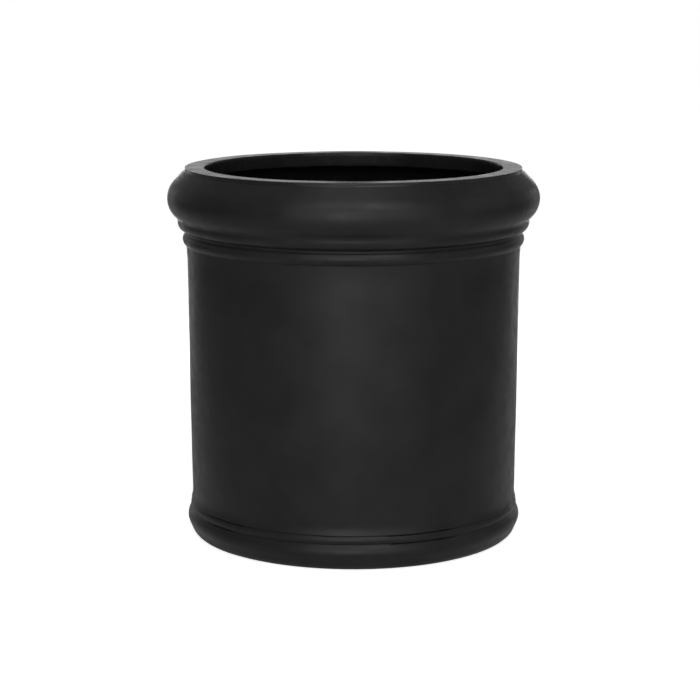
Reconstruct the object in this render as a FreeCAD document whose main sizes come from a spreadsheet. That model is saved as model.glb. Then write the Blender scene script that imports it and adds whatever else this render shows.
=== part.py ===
"""A round fibreglass floor planter: a moulded wall with a roll bead under a flat rim and a torus
at its foot, a separately moulded rim collar, a laminated floor, a drain plug and four rubber feet.

Millimetres, +Z up, the origin on the ground under the middle of the planter.  Every laminate is
a body of revolution, so its outline is drawn once, as radius and height, and turned about Z.
Heights on the mouldings are given as the drop below the top of the rim, as they are measured.
"""
import FreeCAD, Part
import Sketcher
import math
import os
import re

SIZES = {
    # Whole planter and its mouth
    "overall_height": 500.0,
    "mouth_radius": 200.0,
    "rim_radius": 226.0,
    "laminate": 5.0,
    "lip_drop": 19.0,
    "edge_round": 1.5,
    # Neck and roll bead under the rim
    "neck_curve": 7.6,
    "neck_slope": 44.6,
    "bead_radius": 250.0,
    "bead_drop": 41.0,
    "bead_upper_curve": 33.0,
    "bead_lower_curve": 32.0,
    "hollow_curve": 8.0,
    "hollow_drop": 71.0,
    "fillet_radius": 236.5,
    "fillet_face": 1.5,
    "ovolo_curve": 11.5,
    # Round groove under the ovolo, and the astragal below it
    "groove_top_radius": 228.2,
    "groove_foot_radius": 227.0,
    "groove_curve": 2.6,
    "astragal_radius": 230.0,
    "astragal_curve": 10.0,
    "astragal_drop": 95.0,
    "astragal_foot_radius": 225.4,
    "flare_radius": 225.2,
    "flare_drop": 106.0,
    "flare_curve": 240.0,
    # Plain wall, slightly narrower at its foot
    "wall_top_radius": 224.0,
    "wall_top_drop": 130.0,
    "wall_foot_radius": 220.9,
    "wall_foot_drop": 439.5,
    # Flare, small bead and torus at the foot
    "foot_flare_radius": 222.8,
    "foot_flare_drop": 451.5,
    "foot_flare_curve": 39.0,
    "foot_groove_radius": 221.4,
    "foot_groove_drop": 453.0,
    "small_bead_curve": 8.5,
    "small_bead_foot_drop": 463.5,
    "torus_groove_radius": 222.2,
    "torus_radius": 227.5,
    "torus_drop": 475.0,
    "torus_upper_curve": 16.0,
    "torus_lower_curve": 15.0,
    "toe_slope": 23.0,
    "toe_drop": 490.0,
    "toe_curve": 13.0,
    # Inside face of the wall
    "wall_lining_top_radius": 219.0,
    "wall_lining_top_drop": 86.0,
    "wall_lining_foot_radius": 216.0,
    "bead_lining_angle": 48.0,
    "fillet_lining_radius": 231.0,
    "fillet_lining_drop": 74.0,
    "toe_lining_radius": 217.5,
    "toe_lining_drop": 489.0,
    "heel_lining_radius": 211.5,
    "heel_lining_curve": 6.0,
    "foot_ring_radius": 180.0,
    # Floor, its bond and the paste under the rim
    "floor_radius": 205.0,
    "floor_bond_toe_radius": 188.0,
    "floor_bond_curve": 55.0,
    "rim_bond_radius": 211.0,
    "rim_bond_drop": 8.5,
    # Drain hole and its plug
    "drain_radius": 12.5,
    "plug_clearance": 0.3,
    "plug_tip_radius": 10.5,
    "plug_tip_height": 2.5,
    "plug_flange_radius": 21.0,
    "plug_flange": 3.0,
    "plug_round": 1.2,
    "tab_width": 16.0,
    "tab_thickness": 5.0,
    "tab_height": 15.0,
    # Rubber feet, half sunk in the foot ring
    "pad_radius": 12.0,
    "pad_height": 3.0,
    "pad_sink": 1.5,
    "pad_gap": 0.25,
    "pad_round": 0.8,
    "pad_circle_radius": 195.0,
    "pad_first_angle": 45.0,
}
PAD_COUNT = 4
FULL_TURN = 360.0

# Heights that several outlines share
RIM_TOP = "overall_height"
RIM_UNDERSIDE = "overall_height - laminate"
FOOT_FACE = "pad_height - pad_sink"
FOOT_RING_TOP = "pad_height - pad_sink + laminate"
FLOOR_TOP = "pad_height - pad_sink + 2 * laminate"


def below_rim(drop):
    """Height of a line that lies the given drop below the top of the rim."""
    return f"overall_height - ({drop})"


# Places on the mouldings that follow from the driving sizes
NECK_AXIS = "rim_radius + neck_curve"
NECK_UNDER_RIM = f"{NECK_AXIS} - sqrt(neck_curve ^ 2 - laminate ^ 2)"
NECK_LINING_UNDER_RIM = f"{NECK_AXIS} - sqrt((neck_curve + laminate) ^ 2 - laminate ^ 2)"
BEAD_UPPER_AXIS = "bead_radius - bead_upper_curve"
BEAD_LOWER_AXIS = "bead_radius - bead_lower_curve"
BEAD_SHARE = "bead_lower_curve / (bead_lower_curve + hollow_curve)"
HOLLOW_OFFSET = f"fillet_radius + hollow_curve - ({BEAD_LOWER_AXIS})"
OVOLO_AXIS = "fillet_radius - ovolo_curve"
OVOLO_DROP = "hollow_drop + fillet_face"
OVOLO_FALL = f"sqrt(ovolo_curve ^ 2 - (groove_top_radius - ({OVOLO_AXIS})) ^ 2)"
ASTRAGAL_AXIS = "astragal_radius - astragal_curve"
ASTRAGAL_TOP_RISE = f"sqrt(astragal_curve ^ 2 - (groove_foot_radius - ({ASTRAGAL_AXIS})) ^ 2)"
ASTRAGAL_FOOT_FALL = f"sqrt(astragal_curve ^ 2 - (astragal_foot_radius - ({ASTRAGAL_AXIS})) ^ 2)"
TORUS_AXIS = "torus_radius - torus_lower_curve"
TORUS_LINING_AXIS = "torus_radius - torus_upper_curve"
TORUS_LINING_CURVE = "torus_upper_curve - laminate"
TORUS_LINING_STEP = f"wall_lining_foot_radius - ({TORUS_LINING_AXIS})"
TORUS_LINING_RISE = f"sqrt(({TORUS_LINING_CURVE}) ^ 2 - ({TORUS_LINING_STEP}) ^ 2)"
TORUS_SIDE_DROP = "torus_drop + torus_lower_curve * sin(toe_slope)"
TORUS_SIDE = f"{TORUS_AXIS} + torus_lower_curve * cos(toe_slope)"
TOE_START = f"{TORUS_SIDE} - (toe_drop - ({TORUS_SIDE_DROP})) * tan(toe_slope)"
TOE_END = f"{TOE_START} - toe_curve * cos(toe_slope)"

document = FreeCAD.newDocument("Planter")
sheet = document.addObject("Spreadsheet::Sheet", "Dims")


def fill_sheet():
    """Write each driving size into the sheet, with its name beside it as the alias."""
    for row, (alias, number) in enumerate(SIZES.items(), start=1):
        sheet.set(f"A{row}", alias)
        sheet.set(f"B{row}", str(number))
        sheet.setAlias(f"B{row}", alias)
    document.recompute()


def bound(text):
    """The text as an expression, with each size name pointing at its cell of the sheet."""
    names = "|".join(sorted(SIZES, key=len, reverse=True))
    return re.sub(rf"\b({names})\b", r"Dims.\1", text)


def size(text):
    """The present value of an expression in the driving sizes."""
    return float(sheet.evalExpression(bound(text)))


def origin_plane(body, role):
    """One of the body's own base planes or axes."""
    return next(feature for feature in body.Origin.OriginFeatures if feature.Role == role)


def new_sketch(body, name, role):
    """An empty sketch on one of the body's own base planes."""
    sketch = body.newObject("Sketcher::SketchObject", name)
    sketch.AttachmentSupport = (origin_plane(body, role), [""])
    sketch.MapMode = "FlatFace"
    return sketch


def bind_constraint(sketch, constraint, text):
    """Add a sketch constraint and tie its value to the sheet."""
    index = sketch.addConstraint(constraint)
    sketch.setExpression(f"Constraints[{index}]", bound(text))


def arc_between(start, end, curve):
    """The arc from start to end: it swells to the left of the way, or to the right for a negative curve."""
    chord = end - start
    half = chord.Length / 2
    rise = abs(curve) - math.sqrt(max(curve ** 2 - half ** 2, 0.0))
    side = FreeCAD.Vector(-chord.y, chord.x, 0).normalize()
    middle = start + chord / 2 + side * math.copysign(rise, curve)
    return Part.Arc(start, middle, end)


def draw_outline(sketch, corners):
    """Draw a closed outline through corners of (radius, height) or (radius, height, curve, side).

    A corner's curve is the radius of the arc that leaves it for the next corner, and its side is
    +1 where that arc swells to the left of the way and -1 where it swells to the right.
    """
    points = [FreeCAD.Vector(size(corner[0]), size(corner[1]), 0) for corner in corners]
    for index, corner in enumerate(corners):
        start = points[index]
        end = points[(index + 1) % len(points)]
        if len(corner) == 2:
            sketch.addGeometry(Part.LineSegment(start, end))
        else:
            sketch.addGeometry(arc_between(start, end, size(corner[2]) * corner[3]))
    starts = [start_vertex(sketch, index, points[index]) for index in range(len(points))]
    for index, corner in enumerate(corners):
        following = (index + 1) % len(points)
        sketch.addConstraint(Sketcher.Constraint(
            "Coincident", index, 3 - starts[index], following, starts[following]))
        pin_vertex(sketch, index, starts[index], corner)
        if len(corner) > 2:
            bind_constraint(sketch, Sketcher.Constraint("Radius", index, size(corner[2])), corner[2])


def start_vertex(sketch, index, point):
    """Which end of a line or arc, 1 or 2, lies at the given point."""
    gaps = [(sketch.getPoint(index, end) - point).Length for end in (1, 2)]
    return 1 + gaps.index(min(gaps))


def pin_vertex(sketch, index, end, corner):
    """Hold a corner at its radius and height, or on the axis where its radius is nothing."""
    if corner[0] == "0":
        sketch.addConstraint(Sketcher.Constraint("PointOnObject", index, end, -2))
    else:
        radius = Sketcher.Constraint("DistanceX", -1, 1, index, end, size(corner[0]))
        bind_constraint(sketch, radius, corner[0])
    if corner[1] == "0":
        sketch.addConstraint(Sketcher.Constraint("PointOnObject", index, end, -1))
    else:
        height = Sketcher.Constraint("DistanceY", -1, 1, index, end, size(corner[1]))
        bind_constraint(sketch, height, corner[1])


def turned_body(label, corners):
    """A body of revolution about Z from its outline."""
    body = document.addObject("PartDesign::Body", label)
    sketch = new_sketch(body, label + "_outline", "XZ_Plane")
    draw_outline(sketch, corners)
    turn = body.newObject("PartDesign::Revolution", label + "_turn")
    turn.Profile = sketch
    turn.ReferenceAxis = (sketch, ["V_Axis"])
    turn.Angle = FULL_TURN
    body.Tip = turn
    return body


def wall_outside():
    """Outside of the wall, from the paste line under the rim down to the foot ring."""
    return [
        (NECK_UNDER_RIM, RIM_UNDERSIDE, "neck_curve", -1),
        (f"{NECK_AXIS} - neck_curve * cos(neck_slope)", below_rim("neck_curve * sin(neck_slope)")),
        (f"{BEAD_UPPER_AXIS} + bead_upper_curve * cos(neck_slope)",
         below_rim("bead_drop - bead_upper_curve * sin(neck_slope)"), "bead_upper_curve", 1),
        ("bead_radius", below_rim("bead_drop"), "bead_lower_curve", 1),
        (f"{BEAD_LOWER_AXIS} + ({HOLLOW_OFFSET}) * {BEAD_SHARE}",
         below_rim(f"bead_drop + (hollow_drop - bead_drop) * {BEAD_SHARE}"), "hollow_curve", -1),
        ("fillet_radius", below_rim("hollow_drop")),
        ("fillet_radius", below_rim(OVOLO_DROP), "ovolo_curve", 1),
        ("groove_top_radius", below_rim(f"{OVOLO_DROP} + {OVOLO_FALL}"), "groove_curve", -1),
        ("groove_foot_radius", below_rim(f"astragal_drop - {ASTRAGAL_TOP_RISE}"), "astragal_curve", 1),
        ("astragal_foot_radius", below_rim(f"astragal_drop + {ASTRAGAL_FOOT_FALL}")),
        ("flare_radius", below_rim("flare_drop"), "flare_curve", -1),
        ("wall_top_radius", below_rim("wall_top_drop")),
        ("wall_foot_radius", below_rim("wall_foot_drop"), "foot_flare_curve", -1),
        ("foot_flare_radius", below_rim("foot_flare_drop")),
        ("foot_groove_radius", below_rim("foot_groove_drop"), "small_bead_curve", 1),
        ("torus_groove_radius", below_rim("small_bead_foot_drop"), "torus_upper_curve", 1),
        ("torus_radius", below_rim("torus_drop"), "torus_lower_curve", 1),
        (TORUS_SIDE, below_rim(TORUS_SIDE_DROP)),
        (TOE_START, below_rim("toe_drop"), "toe_curve", 1),
        (TOE_END, FOOT_FACE),
    ]


def heel_lining():
    """Inside of the wall round the floor, from the foot ring up to the middle of the torus."""
    return [
        ("heel_lining_radius", FOOT_RING_TOP, "heel_lining_curve", -1),
        ("toe_lining_radius", below_rim("toe_lining_drop")),
        (f"{TORUS_LINING_AXIS} + ({TORUS_LINING_CURVE}) * cos(toe_slope)",
         below_rim(f"torus_drop + ({TORUS_LINING_CURVE}) * sin(toe_slope)"), TORUS_LINING_CURVE, -1),
    ]


def wall_inside():
    """Inside of the wall, from the foot ring up to the paste line under the rim."""
    return [
        ("foot_ring_radius", FOOT_FACE),
        ("foot_ring_radius", FOOT_RING_TOP),
        *heel_lining(),
        ("wall_lining_foot_radius", below_rim(f"torus_drop - {TORUS_LINING_RISE}")),
        ("wall_lining_foot_radius", below_rim("wall_foot_drop")),
        ("wall_lining_top_radius", below_rim("wall_top_drop")),
        ("wall_lining_top_radius", below_rim("wall_lining_top_drop")),
        ("fillet_lining_radius", below_rim("fillet_lining_drop")),
        (f"{BEAD_LOWER_AXIS} + (bead_lower_curve - laminate) * cos(bead_lining_angle)",
         below_rim("bead_drop + (bead_lower_curve - laminate) * sin(bead_lining_angle)"),
         "bead_lower_curve - laminate", -1),
        ("bead_radius - laminate", below_rim("bead_drop"), "bead_upper_curve - laminate", -1),
        (f"{BEAD_UPPER_AXIS} + (bead_upper_curve - laminate) * cos(neck_slope)",
         below_rim("bead_drop - (bead_upper_curve - laminate) * sin(neck_slope)")),
        (f"{NECK_AXIS} - (neck_curve + laminate) * cos(neck_slope)",
         below_rim("(neck_curve + laminate) * sin(neck_slope)"), "neck_curve + laminate", 1),
        (NECK_LINING_UNDER_RIM, RIM_UNDERSIDE),
    ]


def make_wall_shell():
    """The moulded wall, with a shallow round seat in its foot ring for each rubber foot."""
    body = turned_body("wall_shell", wall_outside() + wall_inside())
    sketch = new_sketch(body, "pad_seat_circle", "XY_Plane")
    seat_radius = "pad_radius + pad_gap"
    across = "pad_circle_radius * cos(pad_first_angle)"
    along = "pad_circle_radius * sin(pad_first_angle)"
    centre = FreeCAD.Vector(size(across), size(along), 0)
    sketch.addGeometry(Part.Circle(centre, FreeCAD.Vector(0, 0, 1), size(seat_radius)))
    bind_constraint(sketch, Sketcher.Constraint("Radius", 0, size(seat_radius)), seat_radius)
    for kind, text in (("DistanceX", across), ("DistanceY", along)):
        bind_constraint(sketch, Sketcher.Constraint(kind, -1, 1, 0, 3, size(text)), text)
    seat = body.newObject("PartDesign::Pocket", "pad_seat")
    seat.Profile = sketch
    seat.Reversed = True
    seat.setExpression("Length", bound("pad_height"))
    seats = body.newObject("PartDesign::PolarPattern", "pad_seats")
    seats.Originals = [seat]
    seats.Axis = (origin_plane(body, "Z_Axis"), [""])
    seats.Angle = FULL_TURN
    seats.Occurrences = PAD_COUNT
    body.Tip = seats
    return body


def make_rim_collar():
    """The flat rim and its lip, moulded apart and bonded on top of the wall."""
    return turned_body("rim_collar", [
        ("mouth_radius + edge_round", RIM_TOP),
        ("rim_radius", RIM_TOP, "neck_curve", -1),
        (NECK_UNDER_RIM, RIM_UNDERSIDE),
        ("mouth_radius + laminate + edge_round", RIM_UNDERSIDE, "edge_round", -1),
        ("mouth_radius + laminate", "overall_height - laminate - edge_round"),
        ("mouth_radius + laminate", below_rim("lip_drop")),
        ("mouth_radius", below_rim("lip_drop")),
        ("mouth_radius", "overall_height - edge_round", "edge_round", 1),
    ])


def make_rim_bond():
    """Bonding paste in the corner between the rim's underside and the inside of the neck."""
    lining_curve = "neck_curve + laminate"
    foot_radius = f"{NECK_AXIS} - sqrt(({lining_curve}) ^ 2 - rim_bond_drop ^ 2)"
    return turned_body("rim_bond", [
        ("rim_bond_radius", RIM_UNDERSIDE),
        (NECK_LINING_UNDER_RIM, RIM_UNDERSIDE, lining_curve, -1),
        (foot_radius, below_rim("rim_bond_drop")),
    ])


def make_floor_pan():
    """The laminated floor on the foot ring, with the drain hole at its middle."""
    return turned_body("floor_pan", [
        ("drain_radius", FOOT_RING_TOP),
        ("drain_radius", FLOOR_TOP),
        ("floor_radius", FLOOR_TOP),
        ("floor_radius", FOOT_RING_TOP),
    ])


def make_floor_bond():
    """The putty and glass-tape cove that bonds the floor's edge to the wall."""
    return turned_body("floor_bond", [
        ("floor_radius", FOOT_RING_TOP),
        *heel_lining(),
        (f"{TORUS_LINING_AXIS} + {TORUS_LINING_CURVE}", below_rim("torus_drop"), "floor_bond_curve", 1),
        ("floor_bond_toe_radius", FLOOR_TOP),
        ("floor_radius", FLOOR_TOP),
    ])


def make_drain_plug():
    """The rubber drain plug: a tapered stem under a flange, with a flat pull tab."""
    body = turned_body("drain_plug", [
        ("0", "plug_tip_height"),
        ("0", f"{FLOOR_TOP} + plug_flange"),
        ("plug_flange_radius - plug_round", f"{FLOOR_TOP} + plug_flange", "plug_round", 1),
        ("plug_flange_radius", f"{FLOOR_TOP} + plug_flange - plug_round"),
        ("plug_flange_radius", FLOOR_TOP),
        ("drain_radius - plug_clearance", FLOOR_TOP),
        ("drain_radius - plug_clearance", FOOT_RING_TOP),
        ("plug_tip_radius", "plug_tip_height"),
    ])
    sketch = new_sketch(body, "tab_outline", "XZ_Plane")
    tab_foot = f"{FLOOR_TOP} + plug_flange / 2"
    tab_shoulder = f"{FLOOR_TOP} + plug_flange + tab_height - tab_width / 2"
    half_width = size("tab_width / 2")
    low = size(tab_foot)
    high = size(tab_shoulder)
    corners = [FreeCAD.Vector(-half_width, high, 0), FreeCAD.Vector(-half_width, low, 0),
               FreeCAD.Vector(half_width, low, 0), FreeCAD.Vector(half_width, high, 0)]
    for start, end in zip(corners, corners[1:]):
        sketch.addGeometry(Part.LineSegment(start, end))
    crown = FreeCAD.Vector(0, high + half_width, 0)
    sketch.addGeometry(Part.Arc(corners[3], crown, corners[0]))
    for index in range(2):
        sketch.addConstraint(Sketcher.Constraint("Coincident", index, 2, index + 1, 1))
    sketch.addConstraint(Sketcher.Constraint("Tangent", 2, 2, 3, 1))
    sketch.addConstraint(Sketcher.Constraint("Tangent", 3, 2, 0, 1))
    sketch.addConstraint(Sketcher.Constraint("Vertical", 0))
    sketch.addConstraint(Sketcher.Constraint("Symmetric", 1, 1, 1, 2, -2))
    bind_constraint(sketch, Sketcher.Constraint("DistanceX", 1, 1, 1, 2, size("tab_width")), "tab_width")
    bind_constraint(sketch, Sketcher.Constraint("DistanceY", -1, 1, 1, 1, low), tab_foot)
    bind_constraint(sketch, Sketcher.Constraint("DistanceY", -1, 1, 2, 2, high), tab_shoulder)
    tab = body.newObject("PartDesign::Pad", "pull_tab")
    tab.Profile = sketch
    tab.Midplane = True
    tab.setExpression("Length", bound("tab_thickness"))
    body.Tip = tab
    return body


def make_foot_pad(index):
    """One rubber foot, glued into its seat in the foot ring."""
    body = turned_body(f"foot_pad_{index + 1}", [
        ("0", "0"),
        ("0", "pad_height"),
        ("pad_radius", "pad_height"),
        ("pad_radius", "pad_round", "pad_round", 1),
        ("pad_radius - pad_round", "0"),
    ])
    angle = f"(pad_first_angle + {index * FULL_TURN / PAD_COUNT})"
    body.setExpression("Placement.Base.x", bound(f"pad_circle_radius * cos{angle}"))
    body.setExpression("Placement.Base.y", bound(f"pad_circle_radius * sin{angle}"))
    return body


def check_document():
    """Stop if any object of the document failed to build."""
    for item in document.Objects:
        faults = {"Invalid", "Error"} & set(item.State)
        if faults:
            raise RuntimeError(f"{item.Label} is {faults}: {item.getStatusString()}")


def export(piece):
    """Check one piece's solid, print its volume and write it."""
    shape = piece.Shape
    if shape.isNull() or not shape.isValid() or len(shape.Solids) != 1:
        raise RuntimeError(f"{piece.Label} is not one valid solid")
    box = shape.optimalBoundingBox()
    print(f"{piece.Label:14s} {shape.Volume / 1000:9.2f} cm3  z {box.ZMin:7.2f} to {box.ZMax:7.2f}"
          f"  radius {box.XMax:7.2f}")
    shape.exportStep(f"parts/{piece.Label}.step")


def main():
    """Build every piece of the planter and write each one to its own file."""
    os.makedirs("parts", exist_ok=True)
    fill_sheet()
    pieces = [make_wall_shell(), make_rim_collar(), make_rim_bond(), make_floor_pan(),
              make_floor_bond(), make_drain_plug()]
    pieces += [make_foot_pad(index) for index in range(PAD_COUNT)]
    document.recompute()
    check_document()
    for piece in pieces:
        export(piece)


main()
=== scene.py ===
"""Looks of a round moulded fibreglass floor planter, built around its packed construction.

Outlines are drawn in millimetres as radius and height, the way a moulding template is cut, and
turned about the planter's upright axis.  Blender works in metres, so the pen scales them.
"""

import enum
import logging
from dataclasses import dataclass
from math import acos, asin, atan, atan2, ceil, cos, hypot, radians, sin, sqrt, tan, tau

import bmesh
import bpy
from bmesh.types import BMesh, BMFace, BMVert
from bpy.types import Material, Node, NodeSocket, NodeTree, Object
from mathutils import Euler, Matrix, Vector, noise


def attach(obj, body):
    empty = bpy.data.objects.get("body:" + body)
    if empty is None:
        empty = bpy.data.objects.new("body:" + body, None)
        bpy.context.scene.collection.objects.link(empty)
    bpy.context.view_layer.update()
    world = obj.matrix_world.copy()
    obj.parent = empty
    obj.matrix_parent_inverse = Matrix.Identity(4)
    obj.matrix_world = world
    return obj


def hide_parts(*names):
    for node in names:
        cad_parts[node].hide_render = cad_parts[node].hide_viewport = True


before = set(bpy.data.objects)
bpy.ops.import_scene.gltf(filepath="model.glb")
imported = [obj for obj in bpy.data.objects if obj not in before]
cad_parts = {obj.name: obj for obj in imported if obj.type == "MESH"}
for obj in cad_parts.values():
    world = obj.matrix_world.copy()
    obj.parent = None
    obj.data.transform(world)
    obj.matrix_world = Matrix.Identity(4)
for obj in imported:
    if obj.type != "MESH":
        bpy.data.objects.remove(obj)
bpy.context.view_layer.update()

MM = 0.001
TURN_SEGMENTS = 320
SAME_PLACE = 0.002
COOL_TINT = 1.01
LOG = logging.getLogger("planter")


class Body(enum.Enum):
    """The moving bodies of the planter."""

    PLANTER = "planter"
    DRAIN_PLUG = "drain_plug"


class Swell(enum.Enum):
    """Which way an arc of an outline bulges, seen by someone walking along it."""

    LEFT = 1.0
    RIGHT = -1.0


class Side(enum.Enum):
    """The two faces of a moulded laminate, and the order of their finishes on a piece."""

    MOULDED = 0
    RAW = 1


# --- outlines and surfaces ---


class OutlinePen:
    """Draws a template's outline as a chain of edges, then turns it about the upright axis."""

    def __init__(self, radius: float, height: float) -> None:
        """Put the pen down.

        Args:
            radius: distance from the upright axis, in millimetres.
            height: height above the ground, in millimetres.
        """
        self.mesh = bmesh.new()
        self.tip = self.mesh.verts.new((radius * MM, 0.0, height * MM))
        self.first = self.tip

    def line_to(self, radius: float, height: float, step: float = 0.0) -> "OutlinePen":
        """Draw a straight stretch.

        Args:
            radius: radius of its far end, in millimetres.
            height: height of its far end, in millimetres.
            step: longest edge wanted along the stretch, or 0 for one edge.

        Returns:
            The pen, so that strokes can be chained.
        """
        way = Vector((radius * MM, 0.0, height * MM)) - self.tip.co
        count = max(1, ceil(way.length / (step * MM))) if step else 1
        for _ in range(count):
            made = bmesh.ops.extrude_vert_indiv(self.mesh, verts=[self.tip])
            self.tip = made["verts"][0]
            bmesh.ops.translate(self.mesh, verts=[self.tip], vec=way / count)
        return self

    def arc_to(self, radius: float, height: float, curve: float, swell: Swell, steps: int) -> "OutlinePen":
        """Draw a round stretch.

        Args:
            radius: radius of its far end, in millimetres.
            height: height of its far end, in millimetres.
            curve: radius of the arc, in millimetres.
            swell: which way it bulges, seen along the stroke.
            steps: number of edges along it.

        Returns:
            The pen, so that strokes can be chained.
        """
        chord = Vector((radius * MM, 0.0, height * MM)) - self.tip.co
        half = chord.length / 2
        depth = sqrt(max((curve * MM) ** 2 - half ** 2, 0.0))
        right_hand = Vector((chord.z, 0.0, -chord.x)).normalized()
        centre = self.tip.co + chord / 2 + right_hand * depth * swell.value
        sweep = 2 * asin(min(1.0, half / (curve * MM))) * swell.value
        made = bmesh.ops.spin(self.mesh, geom=[self.tip], cent=centre, axis=(0.0, 1.0, 0.0),
                              angle=sweep, steps=steps, use_merge=False, use_duplicate=False)
        self.tip = next(item for item in made["geom_last"] if isinstance(item, BMVert))
        return self

    def close(self) -> "OutlinePen":
        """Join the tip to where the pen was put down, and return the pen."""
        self.mesh.edges.new((self.tip, self.first))
        return self

    def turn(self, segments: int = TURN_SEGMENTS) -> BMesh:
        """Turn the outline once about the upright axis.

        Args:
            segments: number of steps in the full turn.

        Returns:
            The turned mesh, with its doubles merged and its faces pointing outwards.
        """
        geometry = self.mesh.verts[:] + self.mesh.edges[:]
        bmesh.ops.spin(self.mesh, geom=geometry, cent=(0.0, 0.0, 0.0), axis=(0.0, 0.0, 1.0),
                       angle=tau, steps=segments, use_merge=True, use_duplicate=False)
        bmesh.ops.remove_doubles(self.mesh, verts=self.mesh.verts[:], dist=SAME_PLACE * MM)
        bmesh.ops.recalc_face_normals(self.mesh, faces=self.mesh.faces[:])
        return self.mesh


@dataclass(frozen=True)
class Waves:
    """One layer of a hand-made surface's unevenness."""

    height: float
    spread: float
    seed: float = 0.0

    def at(self, place: Vector) -> float:
        """How far the surface stands out at a place.

        Args:
            place: the place, in metres.

        Returns:
            The distance along the normal, in metres.
        """
        spot = place / (self.spread * MM) + Vector((self.seed, self.seed * 1.7, -self.seed))
        return noise.noise(spot) * self.height * MM


def unsettle(mesh: BMesh, verts: list[BMVert], layers: tuple[Waves, ...]) -> None:
    """Move vertices along their normals by layers of waves.

    Args:
        mesh: the mesh that holds them.
        verts: the vertices to move.
        layers: the waves, added together.
    """
    mesh.normal_update()
    moves = [(vert, vert.normal * sum(layer.at(vert.co) for layer in layers)) for vert in verts]
    for vert, move in moves:
        vert.co += move


def soften_corners(mesh: BMesh, width: float, sharper_than: float, segments: int = 3) -> None:
    """Round the corners of a turned piece.

    Args:
        mesh: the piece.
        width: width of the rounding along each face, in millimetres.
        sharper_than: least angle between two faces that is rounded, in degrees.
        segments: number of steps across the rounding.
    """
    limit = radians(sharper_than)
    corners = [edge for edge in mesh.edges if edge.calc_face_angle(0.0) > limit]
    bmesh.ops.bevel(mesh, geom=corners, offset=width * MM, offset_type="OFFSET", segments=segments,
                    profile=0.5, affect="EDGES", material=-1, clamp_overlap=True)


def finish_piece(mesh: BMesh, name: str, finishes: list[Material]) -> Object:
    """Turn a mesh into an object of the scene, smoothly shaded.

    Args:
        mesh: the modelled mesh, which is used up.
        name: the piece's name.
        finishes: its materials, in the order of the faces' material numbers.

    Returns:
        The new object, at the origin.
    """
    data = bpy.data.meshes.new(name)
    mesh.to_mesh(data)
    mesh.free()
    data.shade_smooth()
    for finish in finishes:
        data.materials.append(finish)
    piece = bpy.data.objects.new(name, data)
    bpy.context.scene.collection.objects.link(piece)
    return piece


def hand_over(piece: Object, node: str, body: Body = Body.PLANTER) -> None:
    """Put a piece on its body, hide the solid that it stands for and log its face count.

    Args:
        piece: the finished piece.
        node: the solid that it replaces.
        body: the body that carries it.
    """
    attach(piece, body.value)
    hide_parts(node)
    LOG.info("%s stands for %s: %d faces", piece.name, node, len(piece.data.polygons))


# --- finishes ---


def add_node(tree: NodeTree, kind: str, values: dict, links: dict, **settings: str | bool) -> Node:
    """Add a node to a tree.

    Args:
        tree: the node tree.
        kind: the node's type.
        values: its inputs that hold a value, by name or number.
        links: its inputs that are linked, and the sockets they are linked to.
        settings: what is set on the node itself.

    Returns:
        The node.
    """
    node = tree.nodes.new(kind)
    for name, setting in settings.items():
        setattr(node, name, setting)
    for name, value in values.items():
        node.inputs[name].default_value = value
    for name, source in links.items():
        tree.links.new(source, node.inputs[name])
    return node


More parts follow.
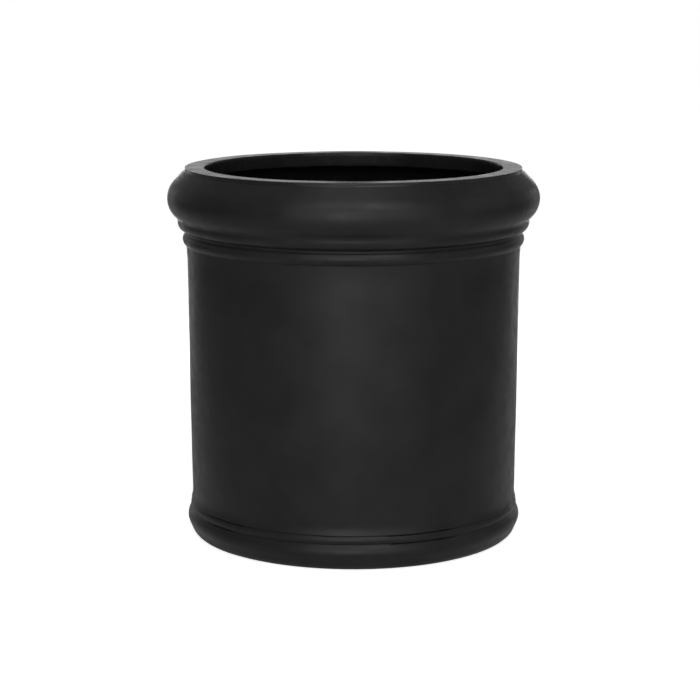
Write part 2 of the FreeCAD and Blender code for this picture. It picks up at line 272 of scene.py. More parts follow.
class NodeBench:
    """A workbench for one material's nodes."""

    def __init__(self, name: str) -> None:
        """Start a material with a Principled shader on its output.

        Args:
            name: the material's name.
        """
        self.material = bpy.data.materials.new(name)
        self.material.use_nodes = True
        self.tree = self.material.node_tree
        self.shader = self.tree.nodes["Principled BSDF"]
        self.places = self.tree.nodes.new("ShaderNodeTexCoord").outputs["Object"]

    def stretch(self, scale: tuple[float, float, float], turn: tuple[float, float, float]) -> NodeSocket:
        """Object coordinates, turned and stretched.

        Args:
            scale: stretch along each axis.
            turn: turn about each axis, in degrees.

        Returns:
            The coordinates.
        """
        values = {"Scale": scale, "Rotation": [radians(angle) for angle in turn]}
        return add_node(self.tree, "ShaderNodeMapping", values, {"Vector": self.places}).outputs["Vector"]

    def grain(self, size: float, detail: float = 2.0, rough: float = 0.5, distort: float = 0.0,
              places: NodeSocket | None = None) -> NodeSocket:
        """A noise pattern.

        Args:
            size: width of its blobs, in millimetres.
            detail: number of finer layers on top.
            rough: share of each finer layer.
            distort: how far the blobs are pulled about.
            places: coordinates to use instead of the object's own.

        Returns:
            The pattern, from 0 to 1.
        """
        values = {"Scale": 1.0 / (size * MM), "Detail": detail, "Roughness": rough, "Distortion": distort}
        node = add_node(self.tree, "ShaderNodeTexNoise", values, {"Vector": places or self.places})
        return node.outputs["Fac"]

    def between(self, source: NodeSocket, low: float, high: float,
                start: float = 0.3, end: float = 0.7) -> NodeSocket:
        """A pattern spread over a range of values.

        Args:
            source: the pattern.
            low: value where the pattern is at start or less.
            high: value where it is at end or more.
            start: lower end of the part of the pattern that is used.
            end: upper end of that part.

        Returns:
            The spread values.
        """
        values = {"From Min": start, "From Max": end, "To Min": low, "To Max": high}
        return add_node(self.tree, "ShaderNodeMapRange", values, {"Value": source}).outputs["Result"]

    def combine(self, operation: str, first: NodeSocket, second: NodeSocket) -> NodeSocket:
        """Two patterns put together.

        Args:
            operation: name of the sum, such as ADD or MULTIPLY.
            first: the first pattern.
            second: the second pattern.

        Returns:
            The result.
        """
        node = add_node(self.tree, "ShaderNodeMath", {}, {0: first, 1: second}, operation=operation)
        return node.outputs["Value"]

    def paint(self, source: NodeSocket, dark: float, light: float) -> None:
        """Colour the shader with two neutral tones mixed by a pattern.

        Args:
            source: the pattern.
            dark: linear grey where the pattern is 0.
            light: linear grey where it is 1.
        """
        tones = {name: (tone, tone, tone * COOL_TINT, 1.0) for name, tone in (("A", dark), ("B", light))}
        node = add_node(self.tree, "ShaderNodeMix", tones, {"Factor": source}, data_type="RGBA")
        self.tree.links.new(node.outputs["Result"], self.shader.inputs["Base Color"])

    def dull(self, source: NodeSocket) -> None:
        """Let a pattern set the shader's roughness."""
        self.tree.links.new(source, self.shader.inputs["Roughness"])

    def emboss(self, source: NodeSocket, depth: float) -> None:
        """Let a pattern raise the surface, on top of anything that raised it before.

        Args:
            source: the pattern.
            depth: height of the pattern's whole range, in millimetres.
        """
        normal = self.shader.inputs["Normal"]
        before = {"Normal": normal.links[0].from_socket} if normal.is_linked else {}
        node = add_node(self.tree, "ShaderNodeBump", {"Distance": depth * MM, "Strength": 1.0},
                        {"Height": source, **before})
        self.tree.links.new(node.outputs["Normal"], normal)


@dataclass(frozen=True)
class CoatedFinish:
    """The satin black coating, rolled and rubbed down by hand."""

    name: str = "satin_black_coating"
    dark: float = 0.0085
    light: float = 0.0135
    specular: float = 0.16
    least_rough: float = 0.29
    most_rough: float = 0.42
    blotch: float = 55.0
    peel: float = 1.6
    peel_depth: float = 0.012
    swell: float = 14.4
    swell_depth: float = 0.036

    def material(self) -> Material:
        """Build the finish and return its material."""
        bench = NodeBench(self.name)
        blotches = bench.grain(self.blotch, detail=4.0, rough=0.55)
        bench.paint(bench.between(blotches, 0.0, 1.0), self.dark, self.light)
        smears = bench.grain(self.blotch / 3, detail=3.0, rough=0.6, distort=0.4)
        bench.dull(bench.between(smears, self.least_rough, self.most_rough))
        bench.emboss(bench.grain(self.peel, detail=2.0), self.peel_depth)
        bench.emboss(bench.grain(self.swell, detail=1.0), self.swell_depth)
        bench.shader.inputs["Specular IOR Level"].default_value = self.specular
        return bench.material


@dataclass(frozen=True)
class RawLaminateFinish:
    """The unmoulded side of the laminate: black resin over chopped glass strands."""

    name: str = "raw_black_laminate"
    dark: float = 0.0035
    light: float = 0.0100
    specular: float = 0.14
    least_rough: float = 0.42
    most_rough: float = 0.72
    strand_width: float = 1.1
    strand_length: float = 26.0
    strand_depth: float = 0.28
    strand_layers: int = 4
    first_turn: tuple[float, float, float] = (23.0, 0.0, 31.0)
    next_turn: tuple[float, float, float] = (41.0, 67.0, 53.0)
    pool: float = 34.0
    hump: float = 9.0
    hump_depth: float = 0.84

    def strands(self, bench: NodeBench) -> NodeSocket:
        """Chopped strands lying every way.

        Args:
            bench: the workbench that the finish is made on.

        Returns:
            The pattern, 1 on top of a strand.
        """
        pattern = None
        narrow = self.strand_width / self.strand_length
        for layer in range(self.strand_layers):
            turn = tuple(first + layer * more for first, more in zip(self.first_turn, self.next_turn))
            places = bench.stretch((1.0, narrow, 1.0), turn)
            grain = bench.grain(self.strand_width, detail=1.0, places=places)
            one = bench.between(grain, 0.0, 1.0, start=0.52, end=0.66)
            pattern = one if pattern is None else bench.combine("MAXIMUM", pattern, one)
        return pattern

    def material(self) -> Material:
        """Build the finish and return its material."""
        bench = NodeBench(self.name)
        strands = self.strands(bench)
        pools = bench.grain(self.pool, detail=3.0, rough=0.6)
        ridges = bench.between(strands, 0.45, 1.0, start=0.0, end=1.0)
        tone = bench.combine("MULTIPLY", bench.between(pools, 0.35, 1.0), ridges)
        bench.paint(tone, self.dark, self.light)
        bench.dull(bench.between(pools, self.most_rough, self.least_rough, start=0.35, end=0.65))
        bench.emboss(strands, self.strand_depth)
        bench.emboss(bench.grain(self.hump, detail=3.0, rough=0.6), self.hump_depth)
        bench.shader.inputs["Specular IOR Level"].default_value = self.specular
        return bench.material


@dataclass(frozen=True)
class PasteFinish:
    """Cured filled paste, spread with a blade."""

    name: str = "bonding_paste"
    dark: float = 0.016
    light: float = 0.034
    rough: float = 0.62
    smear: float = 11.0
    smear_depth: float = 0.8
    grit: float = 1.4
    grit_depth: float = 0.12

    def material(self) -> Material:
        """Build the finish and return its material."""
        bench = NodeBench(self.name)
        smears = bench.grain(self.smear, detail=4.0, rough=0.6, distort=0.8)
        bench.paint(bench.between(smears, 0.0, 1.0), self.dark, self.light)
        bench.emboss(smears, self.smear_depth)
        bench.emboss(bench.grain(self.grit, detail=2.0), self.grit_depth)
        bench.shader.inputs["Roughness"].default_value = self.rough
        return bench.material


@dataclass(frozen=True)
class RubberFinish:
    """Moulded black rubber with a fine sparked texture."""

    name: str = "moulded_rubber"
    dark: float = 0.016
    light: float = 0.023
    least_rough: float = 0.58
    most_rough: float = 0.72
    bloom: float = 6.0
    spark: float = 0.45
    spark_depth: float = 0.02

    def material(self) -> Material:
        """Build the finish and return its material."""
        bench = NodeBench(self.name)
        bloom = bench.grain(self.bloom, detail=3.0)
        bench.paint(bench.between(bloom, 0.0, 1.0), self.dark, self.light)
        bench.dull(bench.between(bloom, self.least_rough, self.most_rough))
        bench.emboss(bench.grain(self.spark, detail=2.0), self.spark_depth)
        return bench.material


# --- the planter ---


@dataclass
class Mouldings:
    """Sizes of the planter's outline that its pieces share, in millimetres."""

    height: float = 500.0
    laminate: float = 5.0
    rim_radius: float = 226.0
    neck_curve: float = 7.6
    bead_radius: float = 250.0
    bead_drop: float = 41.0
    bead_upper_curve: float = 33.0
    bead_lower_curve: float = 32.0
    torus_radius: float = 227.5
    torus_drop: float = 475.0
    torus_upper_curve: float = 16.0
    torus_lower_curve: float = 15.0
    toe_slope: float = 23.0
    foot_face: float = 1.5
    heel_radius: float = 211.5
    heel_curve: float = 6.0
    toe_lining_radius: float = 217.5
    toe_lining_drop: float = 489.0
    wall_lining_foot: float = 216.0

    def level(self, drop: float) -> float:
        """Height of a line that lies the given drop below the top of the rim."""
        return self.height - drop

    @property
    def neck_axis(self) -> float:
        """Radius of the centre that the hollow neck under the rim is struck from."""
        return self.rim_radius + self.neck_curve

    @property
    def neck_slope(self) -> float:
        """Lean from upright of the straight stretch that touches both neck and bead, in radians."""
        across = self.neck_axis - (self.bead_radius - self.bead_upper_curve)
        reach = hypot(across, self.bead_drop)
        return atan2(self.bead_drop, across) - acos((self.neck_curve + self.bead_upper_curve) / reach)

    def neck_radius(self, drop: float, curve: float) -> float:
        """Radius of the neck at a drop, for its outside or its thicker inside curve."""
        return self.neck_axis - sqrt(curve ** 2 - drop ** 2)

    def draw_heel(self, pen: OutlinePen) -> None:
        """Draw the inside of the wall from the foot ring up to the middle of the torus.

        Args:
            pen: the pen, standing on the foot ring's top.
        """
        axis = self.torus_radius - self.torus_upper_curve
        curve = self.torus_upper_curve - self.laminate
        slope = radians(self.toe_slope)
        pen.arc_to(self.toe_lining_radius, self.level(self.toe_lining_drop), self.heel_curve,
                   Swell.RIGHT, steps=4)
        pen.line_to(axis + curve * cos(slope), self.level(self.torus_drop + curve * sin(slope)), step=4.0)
        pen.arc_to(axis + curve, self.level(self.torus_drop), curve, Swell.RIGHT, steps=4)


@dataclass
class WallShell:
    """The moulded wall: neck, roll bead, ovolo, astragal, plain wall, flare, small bead and torus."""

    mouldings: Mouldings
    hollow_curve: float = 8.0
    hollow_drop: float = 71.0
    fillet_radius: float = 236.5
    fillet_face: float = 1.5
    ovolo_curve: float = 11.5
    astragal_radius: float = 230.0
    astragal_curve: float = 10.0
    astragal_drop: float = 95.0
    astragal_foot: float = 225.4
    groove_top: float = 228.2
    groove_foot: float = 227.0
    groove_curve: float = 2.6
    flare_radius: float = 225.2
    flare_drop: float = 106.0
    flare_curve: float = 240.0
    wall_top_radius: float = 224.0
    wall_top_drop: float = 130.0
    wall_foot_radius: float = 220.9
    wall_foot_drop: float = 439.5
    foot_flare_radius: float = 222.8
    foot_flare_drop: float = 451.5
    foot_flare_curve: float = 39.0
    foot_groove_radius: float = 221.4
    foot_groove_drop: float = 453.0
    small_bead_curve: float = 8.5
    small_bead_foot_drop: float = 463.5
    torus_groove_radius: float = 222.2
    toe_drop: float = 490.0
    toe_curve: float = 13.0
    foot_ring_radius: float = 180.0
    lining_top_radius: float = 219.0
    lining_top_drop: float = 86.0
    lining_bead_angle: float = 48.0
    lining_fillet_radius: float = 231.0
    lining_fillet_drop: float = 74.0
    wall_step: float = 7.0
    lining_step: float = 4.5
    corner_round: float = 0.8
    level_tilt: float = 0.02
    seam_margin: float = 1.0
    ring_margin: float = 0.5
    smoothings: int = 3
    outside_waves: tuple[Waves, ...] = (Waves(0.7, 130.0, 3.1), Waves(0.35, 52.0, 8.4))
    inside_waves: tuple[Waves, ...] = (Waves(2.2, 60.0, 1.3), Waves(1.1, 17.0, 5.9))

    def draw_outside(self) -> OutlinePen:
        """Draw the moulded face, from the paste line under the rim to the foot ring.

        Returns:
            The pen, on the foot ring's inner edge.
        """
        shape, level = self.mouldings, self.mouldings.level
        slope = shape.neck_slope
        upper_axis = shape.bead_radius - shape.bead_upper_curve
        lower_axis = shape.bead_radius - shape.bead_lower_curve
        pen = OutlinePen(shape.neck_radius(shape.laminate, shape.neck_curve), level(shape.laminate))
        pen.arc_to(shape.neck_axis - shape.neck_curve * cos(slope),
                   level(shape.neck_curve * sin(slope)), shape.neck_curve, Swell.RIGHT, steps=5)
        pen.line_to(upper_axis + shape.bead_upper_curve * cos(slope),
                    level(shape.bead_drop - shape.bead_upper_curve * sin(slope)), step=3.0)
        pen.arc_to(shape.bead_radius, level(shape.bead_drop), shape.bead_upper_curve, Swell.LEFT, steps=14)
        share = shape.bead_lower_curve / (shape.bead_lower_curve + self.hollow_curve)
        pen.arc_to(lower_axis + (self.fillet_radius + self.hollow_curve - lower_axis) * share,
                   level(shape.bead_drop + (self.hollow_drop - shape.bead_drop) * share),
                   shape.bead_lower_curve, Swell.LEFT, steps=14)
        pen.arc_to(self.fillet_radius, level(self.hollow_drop), self.hollow_curve, Swell.RIGHT, steps=8)
        pen.line_to(self.fillet_radius, level(self.hollow_drop + self.fillet_face))
        fall = sqrt(self.ovolo_curve ** 2 - (self.groove_top - self.fillet_radius + self.ovolo_curve) ** 2)
        pen.arc_to(self.groove_top, level(self.hollow_drop + self.fillet_face + fall),
                   self.ovolo_curve, Swell.LEFT, steps=9)
        self.draw_astragal(pen)
        pen.line_to(self.flare_radius, level(self.flare_drop))
        pen.arc_to(self.wall_top_radius, level(self.wall_top_drop), self.flare_curve, Swell.RIGHT, steps=4)
        pen.line_to(self.wall_foot_radius, level(self.wall_foot_drop), step=self.wall_step)
        self.draw_foot(pen)
        return pen

    def draw_astragal(self, pen: OutlinePen) -> None:
        """Draw the groove over the astragal, and the astragal down to its foot on the wall.

        Args:
            pen: the pen, at the ovolo's underside.
        """
        shape, level = self.mouldings, self.mouldings.level
        axis = self.astragal_radius - self.astragal_curve
        rise = sqrt(self.astragal_curve ** 2 - (self.groove_foot - axis) ** 2)
        fall = sqrt(self.astragal_curve ** 2 - (self.astragal_foot - axis) ** 2)
        pen.arc_to(self.groove_foot, level(self.astragal_drop - rise), self.groove_curve,
                   Swell.RIGHT, steps=8)
        pen.arc_to(self.astragal_foot, level(self.astragal_drop + fall),
                   self.astragal_curve, Swell.LEFT, steps=14)

    def draw_foot(self, pen: OutlinePen) -> None:
        """Draw the flare, the small bead, the torus and the underside of the foot ring.

        Args:
            pen: the pen, at the foot of the plain wall.
        """
        shape, level = self.mouldings, self.mouldings.level
        slope = radians(shape.toe_slope)
        pen.arc_to(self.foot_flare_radius, level(self.foot_flare_drop), self.foot_flare_curve,
                   Swell.RIGHT, steps=6)
        pen.line_to(self.foot_groove_radius, level(self.foot_groove_drop))
        pen.arc_to(self.torus_groove_radius, level(self.small_bead_foot_drop),
                   self.small_bead_curve, Swell.LEFT, steps=9)
        pen.arc_to(shape.torus_radius, level(shape.torus_drop), shape.torus_upper_curve,
                   Swell.LEFT, steps=9)
        side_radius = shape.torus_radius - shape.torus_lower_curve * (1 - cos(slope))
        side_drop = shape.torus_drop + shape.torus_lower_curve * sin(slope)
        pen.arc_to(side_radius, level(side_drop), shape.torus_lower_curve, Swell.LEFT, steps=5)
        toe_radius = side_radius - (self.toe_drop - side_drop) * tan(slope)
        pen.line_to(toe_radius, level(self.toe_drop), step=3.0)
        pen.arc_to(toe_radius - self.toe_curve * cos(slope), shape.foot_face, self.toe_curve,
                   Swell.LEFT, steps=8)
        pen.line_to(self.foot_ring_radius, shape.foot_face, step=8.0)

    def draw_inside(self, pen: OutlinePen) -> None:
        """Draw the raw face, from the foot ring up to the paste line.

        Args:
            pen: the pen, on the foot ring's inner edge.
        """
        shape, level = self.mouldings, self.mouldings.level
        ring_top = shape.foot_face + shape.laminate
        pen.line_to(self.foot_ring_radius, ring_top)
        pen.line_to(shape.heel_radius, ring_top, step=8.0)
        shape.draw_heel(pen)
        axis = shape.torus_radius - shape.torus_upper_curve
        curve = shape.torus_upper_curve - shape.laminate
        rise = sqrt(curve ** 2 - (shape.wall_lining_foot - axis) ** 2)
        pen.arc_to(shape.wall_lining_foot, level(shape.torus_drop - rise), curve, Swell.RIGHT, steps=4)
        pen.line_to(shape.wall_lining_foot, level(self.wall_foot_drop), step=self.lining_step)
        pen.line_to(self.lining_top_radius, level(self.wall_top_drop), step=self.lining_step)
        pen.line_to(self.lining_top_radius, level(self.lining_top_drop), step=self.lining_step)
        pen.line_to(self.lining_fillet_radius, level(self.lining_fillet_drop), step=self.lining_step)
        self.draw_bead_lining(pen)

    def draw_bead_lining(self, pen: OutlinePen) -> None:
        """Draw the hollow inside of the roll bead and the neck.

        Args:
            pen: the pen, behind the ovolo.
        """
        shape, level = self.mouldings, self.mouldings.level
        lower, upper = shape.bead_lower_curve - shape.laminate, shape.bead_upper_curve - shape.laminate
        lower_axis = shape.bead_radius - shape.bead_lower_curve
        upper_axis = shape.bead_radius - shape.bead_upper_curve
        neck = shape.neck_curve + shape.laminate
        angle, slope = radians(self.lining_bead_angle), shape.neck_slope
        pen.line_to(lower_axis + lower * cos(angle), level(shape.bead_drop + lower * sin(angle)),
                    step=self.lining_step)
        pen.arc_to(shape.bead_radius - shape.laminate, level(shape.bead_drop), lower, Swell.RIGHT, steps=6)
        pen.arc_to(upper_axis + upper * cos(slope), level(shape.bead_drop - upper * sin(slope)),
                   upper, Swell.RIGHT, steps=6)
        pen.line_to(shape.neck_axis - neck * cos(slope), level(neck * sin(slope)),
                    step=self.lining_step)
        pen.arc_to(shape.neck_radius(shape.laminate, neck), level(shape.laminate), neck,
                   Swell.LEFT, steps=3)

    def side_of(self, face: BMFace) -> Side:
        """Which side of the laminate a face is on.

        Args:
            face: a face of the turned wall.

        Returns:
            MOULDED where it looks away from the axis or down at the ground, else RAW.
        """
        middle = face.calc_center_median()
        outward = face.normal.x * middle.x + face.normal.y * middle.y
        tilt = outward / hypot(middle.x, middle.y)
        if abs(tilt) < self.level_tilt:
            return Side.MOULDED if face.normal.z < 0 else Side.RAW
        return Side.MOULDED if tilt > 0 else Side.RAW

    def within(self, mesh: BMesh, side: Side, low: float, high: float) -> list[BMVert]:
        """Find the vertices wholly on one side of the laminate, in a band of heights.

        Args:
            mesh: the wall, with its two sides marked.
            side: the side.
            low: height that they are over, in metres.
            high: height that they are under, in metres.

        Returns:
            The vertices.
        """
        return [vert for vert in mesh.verts
                if low < vert.co.z < high
                and all(face.material_index == side.value for face in vert.link_faces)]

    def build(self) -> BMesh:
        """Model the wall and return its mesh, with its two sides marked."""
        pen = self.draw_outside()
        self.draw_inside(pen)
        mesh = pen.close().turn()
        soften_corners(mesh, self.corner_round, sharper_than=28.0)
        for face in mesh.faces:
            face.material_index = self.side_of(face).value
        top = self.mouldings.level(self.mouldings.laminate + self.seam_margin) * MM
        ring = (self.mouldings.foot_face + self.mouldings.laminate + self.ring_margin) * MM
        raw = self.within(mesh, Side.RAW, ring, top)
        for _ in range(self.smoothings):
            bmesh.ops.smooth_vert(mesh, verts=raw, factor=0.5,
                                  use_axis_x=True, use_axis_y=True, use_axis_z=True)
        unsettle(mesh, raw, self.inside_waves)
        toe = 2 * self.mouldings.foot_face * MM
        unsettle(mesh, self.within(mesh, Side.MOULDED, toe, top), self.outside_waves)
        return mesh

    def dress(self, coating: Material, raw: Material) -> None:
        """Build the wall, finish it and put it on the planter.

        Args:
            coating: finish of the moulded face.
            raw: finish of the inside.
        """
        wall = finish_piece(self.build(), "moulded_wall", [coating, raw])
        hand_over(wall, "wall_shell")


@dataclass
class RimCollar:
    """The flat rim with its turned-down lip, and the paste that bonds it to the neck."""

    mouldings: Mouldings
    mouth_radius: float = 200.0
    lip_drop: float = 19.0
    mouth_round: float = 1.5
    edge_round: float = 0.5
    still_edge: float = 1.0
    trimmed_edge: float = 1.2
    ring_step: float = 5.0
    bond_radius: float = 211.0
    bond_drop: float = 8.5
    bond_tilt: float = 0.3
    bond_edge: float = 0.2
    waves: tuple[Waves, ...] = (Waves(0.22, 90.0, 6.2), Waves(0.06, 22.0, 2.2))
    trim_waves: Waves = Waves(0.9, 28.0, 4.4)
    paste_waves: tuple[Waves, ...] = (Waves(1.6, 24.0, 9.1), Waves(0.8, 9.0, 2.7))

    def build_collar(self) -> BMesh:
        """Model the rim and its lip and return the mesh."""
        shape = self.mouldings
        top, under = shape.height, shape.level(shape.laminate)
        back = self.mouth_radius + shape.laminate
        pen = OutlinePen(self.mouth_radius + self.mouth_round, top)
        pen.line_to(shape.rim_radius, top, step=self.ring_step)
        pen.arc_to(shape.neck_radius(shape.laminate, shape.neck_curve), under, shape.neck_curve,
                   Swell.RIGHT, steps=4)
        pen.line_to(back + self.mouth_round, under, step=self.ring_step)
        pen.arc_to(back, under - self.mouth_round, self.mouth_round, Swell.RIGHT, steps=3)
        pen.line_to(back, shape.level(self.lip_drop), step=self.ring_step)
        pen.line_to(self.mouth_radius, shape.level(self.lip_drop))
        pen.line_to(self.mouth_radius, top - self.mouth_round, step=self.ring_step)
        pen.arc_to(self.mouth_radius + self.mouth_round, top, self.mouth_round, Swell.LEFT, steps=4)
        mesh = pen.turn()
        soften_corners(mesh, self.edge_round, sharper_than=40.0)
        lip_foot = shape.level(self.lip_drop) * MM
        trimmed = [vert for vert in mesh.verts if vert.co.z < lip_foot + self.trimmed_edge * MM]
        for vert in trimmed:
            vert.co.z += self.trim_waves.at(vert.co)
        seam = shape.level(shape.laminate + self.edge_round) * MM
        unsettle(mesh, [vert for vert in mesh.verts if vert.co.z > seam + self.still_edge * MM], self.waves)
        return mesh

    def build_bond(self) -> BMesh:
        """Model the paste in the corner behind the lip and return the mesh."""
        shape = self.mouldings
        neck = shape.neck_curve + shape.laminate
        under = shape.level(shape.laminate)
        pen = OutlinePen(self.bond_radius, under)
        pen.line_to(shape.neck_radius(shape.laminate, neck), under, step=3.0)
        pen.arc_to(shape.neck_radius(self.bond_drop, neck), shape.level(self.bond_drop), neck,
                   Swell.RIGHT, steps=4)
        pen.line_to(self.bond_radius, under, step=2.5)
        mesh = pen.turn()
        free = [vert for vert in mesh.verts
                if vert.normal.z < -self.bond_tilt and vert.co.z < under * MM - self.bond_edge * MM]
        unsettle(mesh, free, self.paste_waves)
        return mesh

    def dress(self, coating: Material, paste: Material) -> None:
        """Build both pieces, finish them and put them on the planter.

        Args:
            coating: finish of the rim.
            paste: finish of the bond.
        """
        hand_over(finish_piece(self.build_collar(), "flat_rim", [coating]), "rim_collar")
        hand_over(finish_piece(self.build_bond(), "rim_paste", [paste]), "rim_bond")


@dataclass
class Floor:
    """The laminated floor with its drain hole, and the glassed cove that bonds it to the wall."""

    mouldings: Mouldings
    radius: float = 205.0
    drain_radius: float = 12.5
    cove_toe_radius: float = 188.0
    cove_curve: float = 55.0
    cove_tilt: float = 0.3
    cove_edge: float = 2.0
    cove_wall_radius: float = 221.0
    level_edge: float = 0.2
    step: float = 4.0
    plug_seat_radius: float = 24.0
    waves: tuple[Waves, ...] = (Waves(1.0, 55.0, 7.7), Waves(0.7, 15.0, 0.6))
    cove_waves: tuple[Waves, ...] = (Waves(1.6, 40.0, 3.3), Waves(0.9, 12.0, 8.8))

    def build_pan(self) -> BMesh:
        """Model the floor and return the mesh."""
        shape = self.mouldings
        under = shape.foot_face + shape.laminate
        top = under + shape.laminate
        pen = OutlinePen(self.drain_radius, under)
        pen.line_to(self.drain_radius, top)
        pen.line_to(self.radius, top, step=self.step)
        pen.line_to(self.radius, under)
        pen.line_to(self.drain_radius, under, step=self.step)
        mesh = pen.turn()
        soften_corners(mesh, width=0.5, sharper_than=40.0, segments=2)
        seat = self.plug_seat_radius * MM
        free = [vert for vert in mesh.verts
                if seat < vert.co.xy.length < self.cove_toe_radius * MM
                and vert.co.z > (top - self.level_edge) * MM]
        unsettle(mesh, free, self.waves)
        return mesh

    def build_cove(self) -> BMesh:
        """Model the cove round the floor and return the mesh."""
        shape = self.mouldings
        under = shape.foot_face + shape.laminate
        top = under + shape.laminate
        pen = OutlinePen(self.radius, under)
        pen.line_to(shape.heel_radius, under, step=self.step)
        shape.draw_heel(pen)
        pen.arc_to(self.cove_toe_radius, top, self.cove_curve, Swell.LEFT, steps=12)
        pen.line_to(self.radius, top, step=self.step)
        pen.line_to(self.radius, under)
        mesh = pen.turn()
        mesh.normal_update()
        toe = (self.cove_toe_radius + self.cove_edge) * MM
        free = [vert for vert in mesh.verts
                if vert.normal.z > self.cove_tilt and toe < vert.co.xy.length < self.cove_wall_radius * MM]
        unsettle(mesh, free, self.cove_waves)
        return mesh

    def dress(self, raw: Material) -> None:
        """Build both pieces, finish them and put them on the planter.

        Args:
            raw: finish of the raw laminate.
        """
        hand_over(finish_piece(self.build_pan(), "laminated_floor", [raw]), "floor_pan")
        hand_over(finish_piece(self.build_cove(), "glassed_cove", [raw]), "floor_bond")


@dataclass
class DrainPlug:
    """The flanged rubber bung with its pull tab."""

    mouldings: Mouldings
    stem_radius: float = 12.2
    tip_radius: float = 10.5
    tip_height: float = 2.5
    flange_radius: float = 21.0
    flange: float = 3.0
    flange_round: float = 1.2
    flange_dish: float = 0.7
    tab_width: float = 16.0
    tab_thickness: float = 5.0
    tab_height: float = 15.0
    tab_round: float = 1.1
    dish_margin: float = 2.0
    sharp_angle: float = 50.0
    segments: int = 96

    @property
    def seat(self) -> float:
        """Height of the floor's top, on which the flange rests."""
        return self.mouldings.foot_face + 2 * self.mouldings.laminate

    def build_bung(self) -> BMesh:
        """Model the stem and the flange and return the mesh."""
        top = self.seat + self.flange
        pen = OutlinePen(0.0, self.tip_height)
        pen.line_to(self.tip_radius, self.tip_height, step=3.0)
        pen.line_to(self.stem_radius, self.mouldings.foot_face + self.mouldings.laminate, step=2.0)
        pen.line_to(self.stem_radius, self.seat, step=2.0)
        pen.line_to(self.flange_radius, self.seat, step=3.0)
        pen.line_to(self.flange_radius, top - self.flange_round)
        pen.arc_to(self.flange_radius - self.flange_round, top, self.flange_round, Swell.RIGHT, steps=5)
        pen.line_to(self.tab_width / 2 + self.dish_margin, top - self.flange_dish, step=2.0)
        pen.line_to(0.0, top - self.flange_dish, step=3.0)
        mesh = pen.turn(self.segments)
        soften_corners(mesh, width=0.4, sharper_than=35.0)
        return mesh

    def build_tab(self) -> BMesh:
        """Model the pull tab and return the mesh."""
        half, foot = self.tab_width / 2, self.seat + self.flange / 2
        shoulder = self.seat + self.flange + self.tab_height - half
        pen = OutlinePen(-half, foot).line_to(-half, shoulder)
        mesh = pen.arc_to(half, shoulder, half, Swell.LEFT, steps=18).line_to(half, foot).close().mesh
        bmesh.ops.contextual_create(mesh, geom=mesh.edges[:])
        grown = bmesh.ops.extrude_face_region(mesh, geom=mesh.faces[:])
        moved = [item for item in grown["geom"] if isinstance(item, BMVert)]
        bmesh.ops.translate(mesh, verts=moved, vec=(0.0, self.tab_thickness * MM, 0.0))
        bmesh.ops.translate(mesh, verts=mesh.verts[:], vec=(0.0, -self.tab_thickness / 2 * MM, 0.0))
        bmesh.ops.recalc_face_normals(mesh, faces=mesh.faces[:])
        soften_corners(mesh, self.tab_round, sharper_than=60.0, segments=4)
        return mesh

    def dress(self, rubber: Material) -> None:
        """Build the plug, join its tab to its flange and put it on its own body.

        Args:
            rubber: finish of the plug.
        """
        piece = finish_piece(self.build_bung(), "drain_bung", [rubber])
        tab = finish_piece(self.build_tab(), "pull_tab", [rubber])
        join = piece.modifiers.new("join_tab", "BOOLEAN")
        join.operation = "UNION"
        join.solver = "EXACT"
        join.object = tab
        graph = bpy.context.evaluated_depsgraph_get()
        joined = bpy.data.meshes.new_from_object(piece.evaluated_get(graph))
        piece.modifiers.clear()
        piece.data = joined
        joined.shade_smooth()
        joined.set_sharp_from_angle(angle=radians(self.sharp_angle))
        bpy.data.objects.remove(tab)
        hand_over(piece, "drain_plug", Body.DRAIN_PLUG)


@dataclass
class FootPads:
    """The rubber feet under the foot ring."""

    count: int = 4
    radius: float = 12.0
    height: float = 3.0
    round: float = 0.8
    circle_radius: float = 195.0
    first_angle: float = 45.0
    segments: int = 64

    def build_pad(self, number: int) -> BMesh:
        """Model one foot in its place.

        Args:
            number: number of the foot, from 1.

        Returns:
            The mesh.
        """
        pen = OutlinePen(0.0, 0.0)
        pen.line_to(self.radius - self.round, 0.0, step=3.0)
        pen.arc_to(self.radius, self.round, self.round, Swell.RIGHT, steps=4)
        pen.line_to(self.radius, self.height)
        pen.line_to(0.0, self.height, step=3.0)
        mesh = pen.turn(self.segments)
        soften_corners(mesh, width=0.2, sharper_than=50.0, segments=2)
        angle = radians(self.first_angle + (number - 1) * 360.0 / self.count)
        place = Vector((cos(angle), sin(angle), 0.0)) * self.circle_radius * MM
        bmesh.ops.translate(mesh, verts=mesh.verts[:], vec=place)
        return mesh

    def dress(self, rubber: Material) -> None:
        """Build every foot, finish it and put it on the planter.

        Args:
            rubber: finish of the feet.
        """
        for number in range(1, self.count + 1):
            foot = finish_piece(self.build_pad(number), f"rubber_foot_{number}", [rubber])
            hand_over(foot, f"foot_pad_{number}")


# --- the studio ---


@dataclass(frozen=True)
class Softbox:
    """One flat lamp of the studio, facing a point of the planter."""

    name: str
    place: tuple[float, float, float]
    size: tuple[float, float]
    power: float
    aim: tuple[float, float, float] = (0.0, 0.0, 0.25)

    def hang(self) -> None:
        """Hang the lamp."""
        data = bpy.data.lights.new(self.name, "AREA")
        data.shape = "RECTANGLE"
        data.size, data.size_y = self.size
        data.energy = self.power
        lamp = bpy.data.objects.new(self.name, data)
        lamp.location = self.place
        lamp.rotation_euler = (Vector(self.aim) - Vector(self.place)).to_track_quat("-Z", "Y").to_euler()
        lamp.visible_camera = False
        bpy.context.scene.collection.objects.link(lamp)


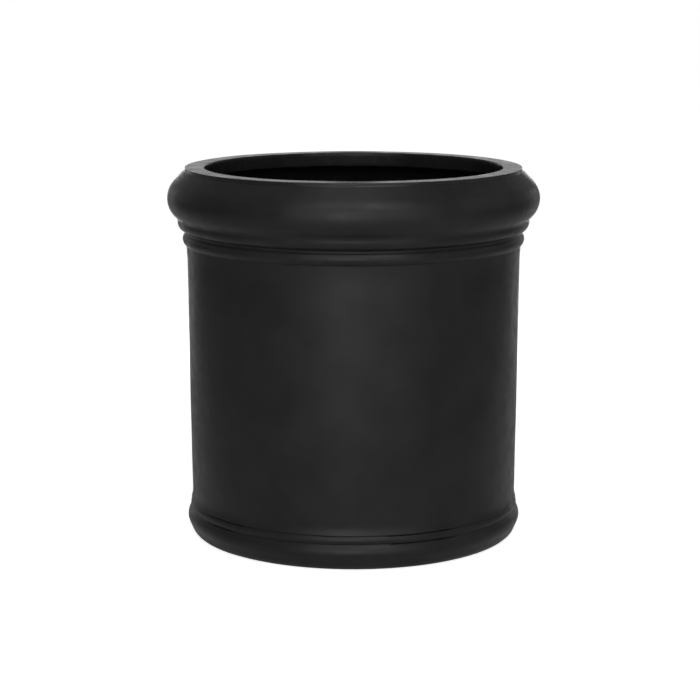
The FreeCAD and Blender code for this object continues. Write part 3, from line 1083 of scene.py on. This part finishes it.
@dataclass
class Studio:
    """A white sweep, soft lamps and the camera at the photograph's angle."""

    image_width: float = 700.0
    sensor: float = 36.0
    focal_pixels: float = 2091.0
    distance: float = 2.803
    eye_height: float = 0.768
    look_down: float = 10.49
    axis_column: float = 353.5
    floor_size: float = 120.0
    floor_colour: float = 0.90
    floor_glow: float = 0.84
    fade_start: float = 0.5
    fade_end: float = 1.8
    gloss: float = 0.25
    floor_gloss: float = 0.10
    lamps: tuple[Softbox, ...] = (
        Softbox("front_wall", (0.0, -3.2, 1.5), (5.0, 2.8), 24.2),
        Softbox("front_strip", (-0.17, -2.39, 0.60), (0.9, 1.6), 13.7),
        Softbox("left_front", (-1.13, -2.12, 0.60), (0.6, 1.6), 3.3),
        Softbox("right_front", (1.05, -2.16, 0.60), (1.3, 1.6), 7.3),
        Softbox("high_left", (-0.64, -1.58, 1.90), (0.9, 0.9), 4.2),
        Softbox("high_middle", (-0.06, -1.70, 1.90), (0.9, 0.9), 1.6),
        Softbox("high_right", (0.58, -1.60, 1.90), (0.9, 0.9), 8.3),
        Softbox("low_front", (-0.15, -2.19, 0.15), (0.9, 0.25), 0.6),
        Softbox("overhead", (0.0, -0.9, 2.2), (1.2, 1.4), 9.2),
        Softbox("right_wall", (3.2, -0.4, 1.5), (3.0, 2.8), 6.9),
        Softbox("left_back", (-0.52, 1.51, 0.35), (0.22, 0.7), 1.4),
        Softbox("left_side_back", (-0.99, 1.26, 0.35), (0.22, 0.7), 0.35),
        Softbox("right_back", (0.52, 1.51, 0.35), (0.22, 0.7), 1.1),
        Softbox("right_side_back", (0.99, 1.26, 0.35), (0.22, 0.7), 0.37),
        Softbox("rim_left", (-0.45, 2.5, 0.85), (0.8, 0.4), 0.7, (0.0, 0.0, 0.5)),
        Softbox("rim_right", (0.45, 2.5, 0.85), (0.8, 0.4), 0.7, (0.0, 0.0, 0.5)),
    )

    def whiteness(self, tree: NodeTree, gloss: float) -> NodeSocket:
        """How white the surroundings are: fully to the eye and through glass, less in a gloss.

        Args:
            tree: the node tree to make it in.
            gloss: how white they are in a gloss.

        Returns:
            The whiteness, from 0 for what only lights the planter to 1.
        """
        path = tree.nodes.new("ShaderNodeLightPath")
        total = path.outputs["Is Camera Ray"]
        for ray, strength in (("Is Glossy Ray", gloss), ("Is Transmission Ray", 1.0)):
            node = add_node(tree, "ShaderNodeMath", {1: strength}, {0: path.outputs[ray], 2: total},
                            operation="MULTIPLY_ADD", use_clamp=True)
            total = node.outputs["Value"]
        return total

    def fade(self, tree: NodeTree, near: float, far: float) -> NodeSocket:
        """A value that changes softly with the distance from the planter.

        Args:
            tree: the node tree to make it in.
            near: its value on the floor round the planter.
            far: its value beyond the fade.

        Returns:
            The value.
        """
        places = tree.nodes.new("ShaderNodeTexCoord").outputs["Object"]
        reach = add_node(tree, "ShaderNodeVectorMath", {}, {0: places}, operation="LENGTH")
        values = {"From Min": self.fade_start, "From Max": self.fade_end, "To Min": near, "To Max": far}
        node = add_node(tree, "ShaderNodeMapRange", values, {"Value": reach.outputs["Value"]},
                        interpolation_type="SMOOTHSTEP")
        return node.outputs["Result"]

    def lay_floor(self) -> None:
        """Lay the white floor, which keeps the planter's shadow."""
        mesh = bmesh.new()
        bmesh.ops.create_grid(mesh, x_segments=1, y_segments=1, size=self.floor_size / 2)
        material = bpy.data.materials.new("white_sweep")
        material.use_nodes = True
        tree = material.node_tree
        tree.nodes.remove(tree.nodes["Principled BSDF"])
        lit = add_node(tree, "ShaderNodeBsdfDiffuse", {"Color": (self.floor_colour,) * 3 + (1.0,)}, {})
        factors = {0: self.whiteness(tree, self.floor_gloss), 1: self.fade(tree, self.floor_glow, 1.0)}
        strength = add_node(tree, "ShaderNodeMath", {}, factors, operation="MULTIPLY")
        glow = add_node(tree, "ShaderNodeEmission", {}, {"Strength": strength.outputs["Value"]})
        lights = {0: lit.outputs["BSDF"], 1: glow.outputs["Emission"]}
        both = add_node(tree, "ShaderNodeAddShader", {}, lights)
        tree.links.new(both.outputs["Shader"], tree.nodes["Material Output"].inputs["Surface"])
        finish_piece(mesh, "white_floor", [material])

    def fill_sky(self) -> None:
        """Surround the planter with white that does not light it, and shows faintly in its gloss."""
        world = bpy.data.worlds.new("white_surround")
        world.use_nodes = True
        bpy.context.scene.world = world
        tree = world.node_tree
        background = tree.nodes["Background"]
        background.inputs["Color"].default_value = (1.0, 1.0, 1.0, 1.0)
        tree.links.new(self.whiteness(tree, self.gloss), background.inputs["Strength"])

    def set_camera(self) -> None:
        """Set up the camera at the photograph's angle."""
        data = bpy.data.cameras.new("camera")
        data.sensor_fit = "HORIZONTAL"
        data.sensor_width = self.sensor
        data.lens = self.focal_pixels / self.image_width * self.sensor
        data.clip_end = 2 * self.floor_size
        camera = bpy.data.objects.new("camera", data)
        yaw = atan((self.axis_column - self.image_width / 2) / self.focal_pixels)
        camera.location = (0.0, -self.distance, self.eye_height)
        camera.rotation_euler = Euler((radians(90.0 - self.look_down), 0.0, yaw), "XYZ")
        bpy.context.scene.collection.objects.link(camera)
        bpy.context.scene.camera = camera

    def build(self) -> None:
        """Set up the whole studio."""
        bpy.context.scene.view_settings.view_transform = "Standard"
        self.set_camera()
        self.lay_floor()
        self.fill_sky()
        for softbox in self.lamps:
            softbox.hang()


def main() -> None:
    """Build the studio and every piece of the planter, in order."""
    logging.basicConfig(level=logging.INFO, format="%(name)s: %(message)s")
    Studio().build()
    coating = CoatedFinish().material()
    raw = RawLaminateFinish().material()
    rubber = RubberFinish().material()
    mouldings = Mouldings()
    WallShell(mouldings).dress(coating, raw)
    rim_coating = CoatedFinish(name="rubbed_rim_coating", least_rough=0.20, most_rough=0.30).material()
    RimCollar(mouldings).dress(rim_coating, PasteFinish().material())
    Floor(mouldings).dress(raw)
    DrainPlug(mouldings).dress(rubber)
    FootPads().dress(rubber)


if __name__ == "__main__":
    main()
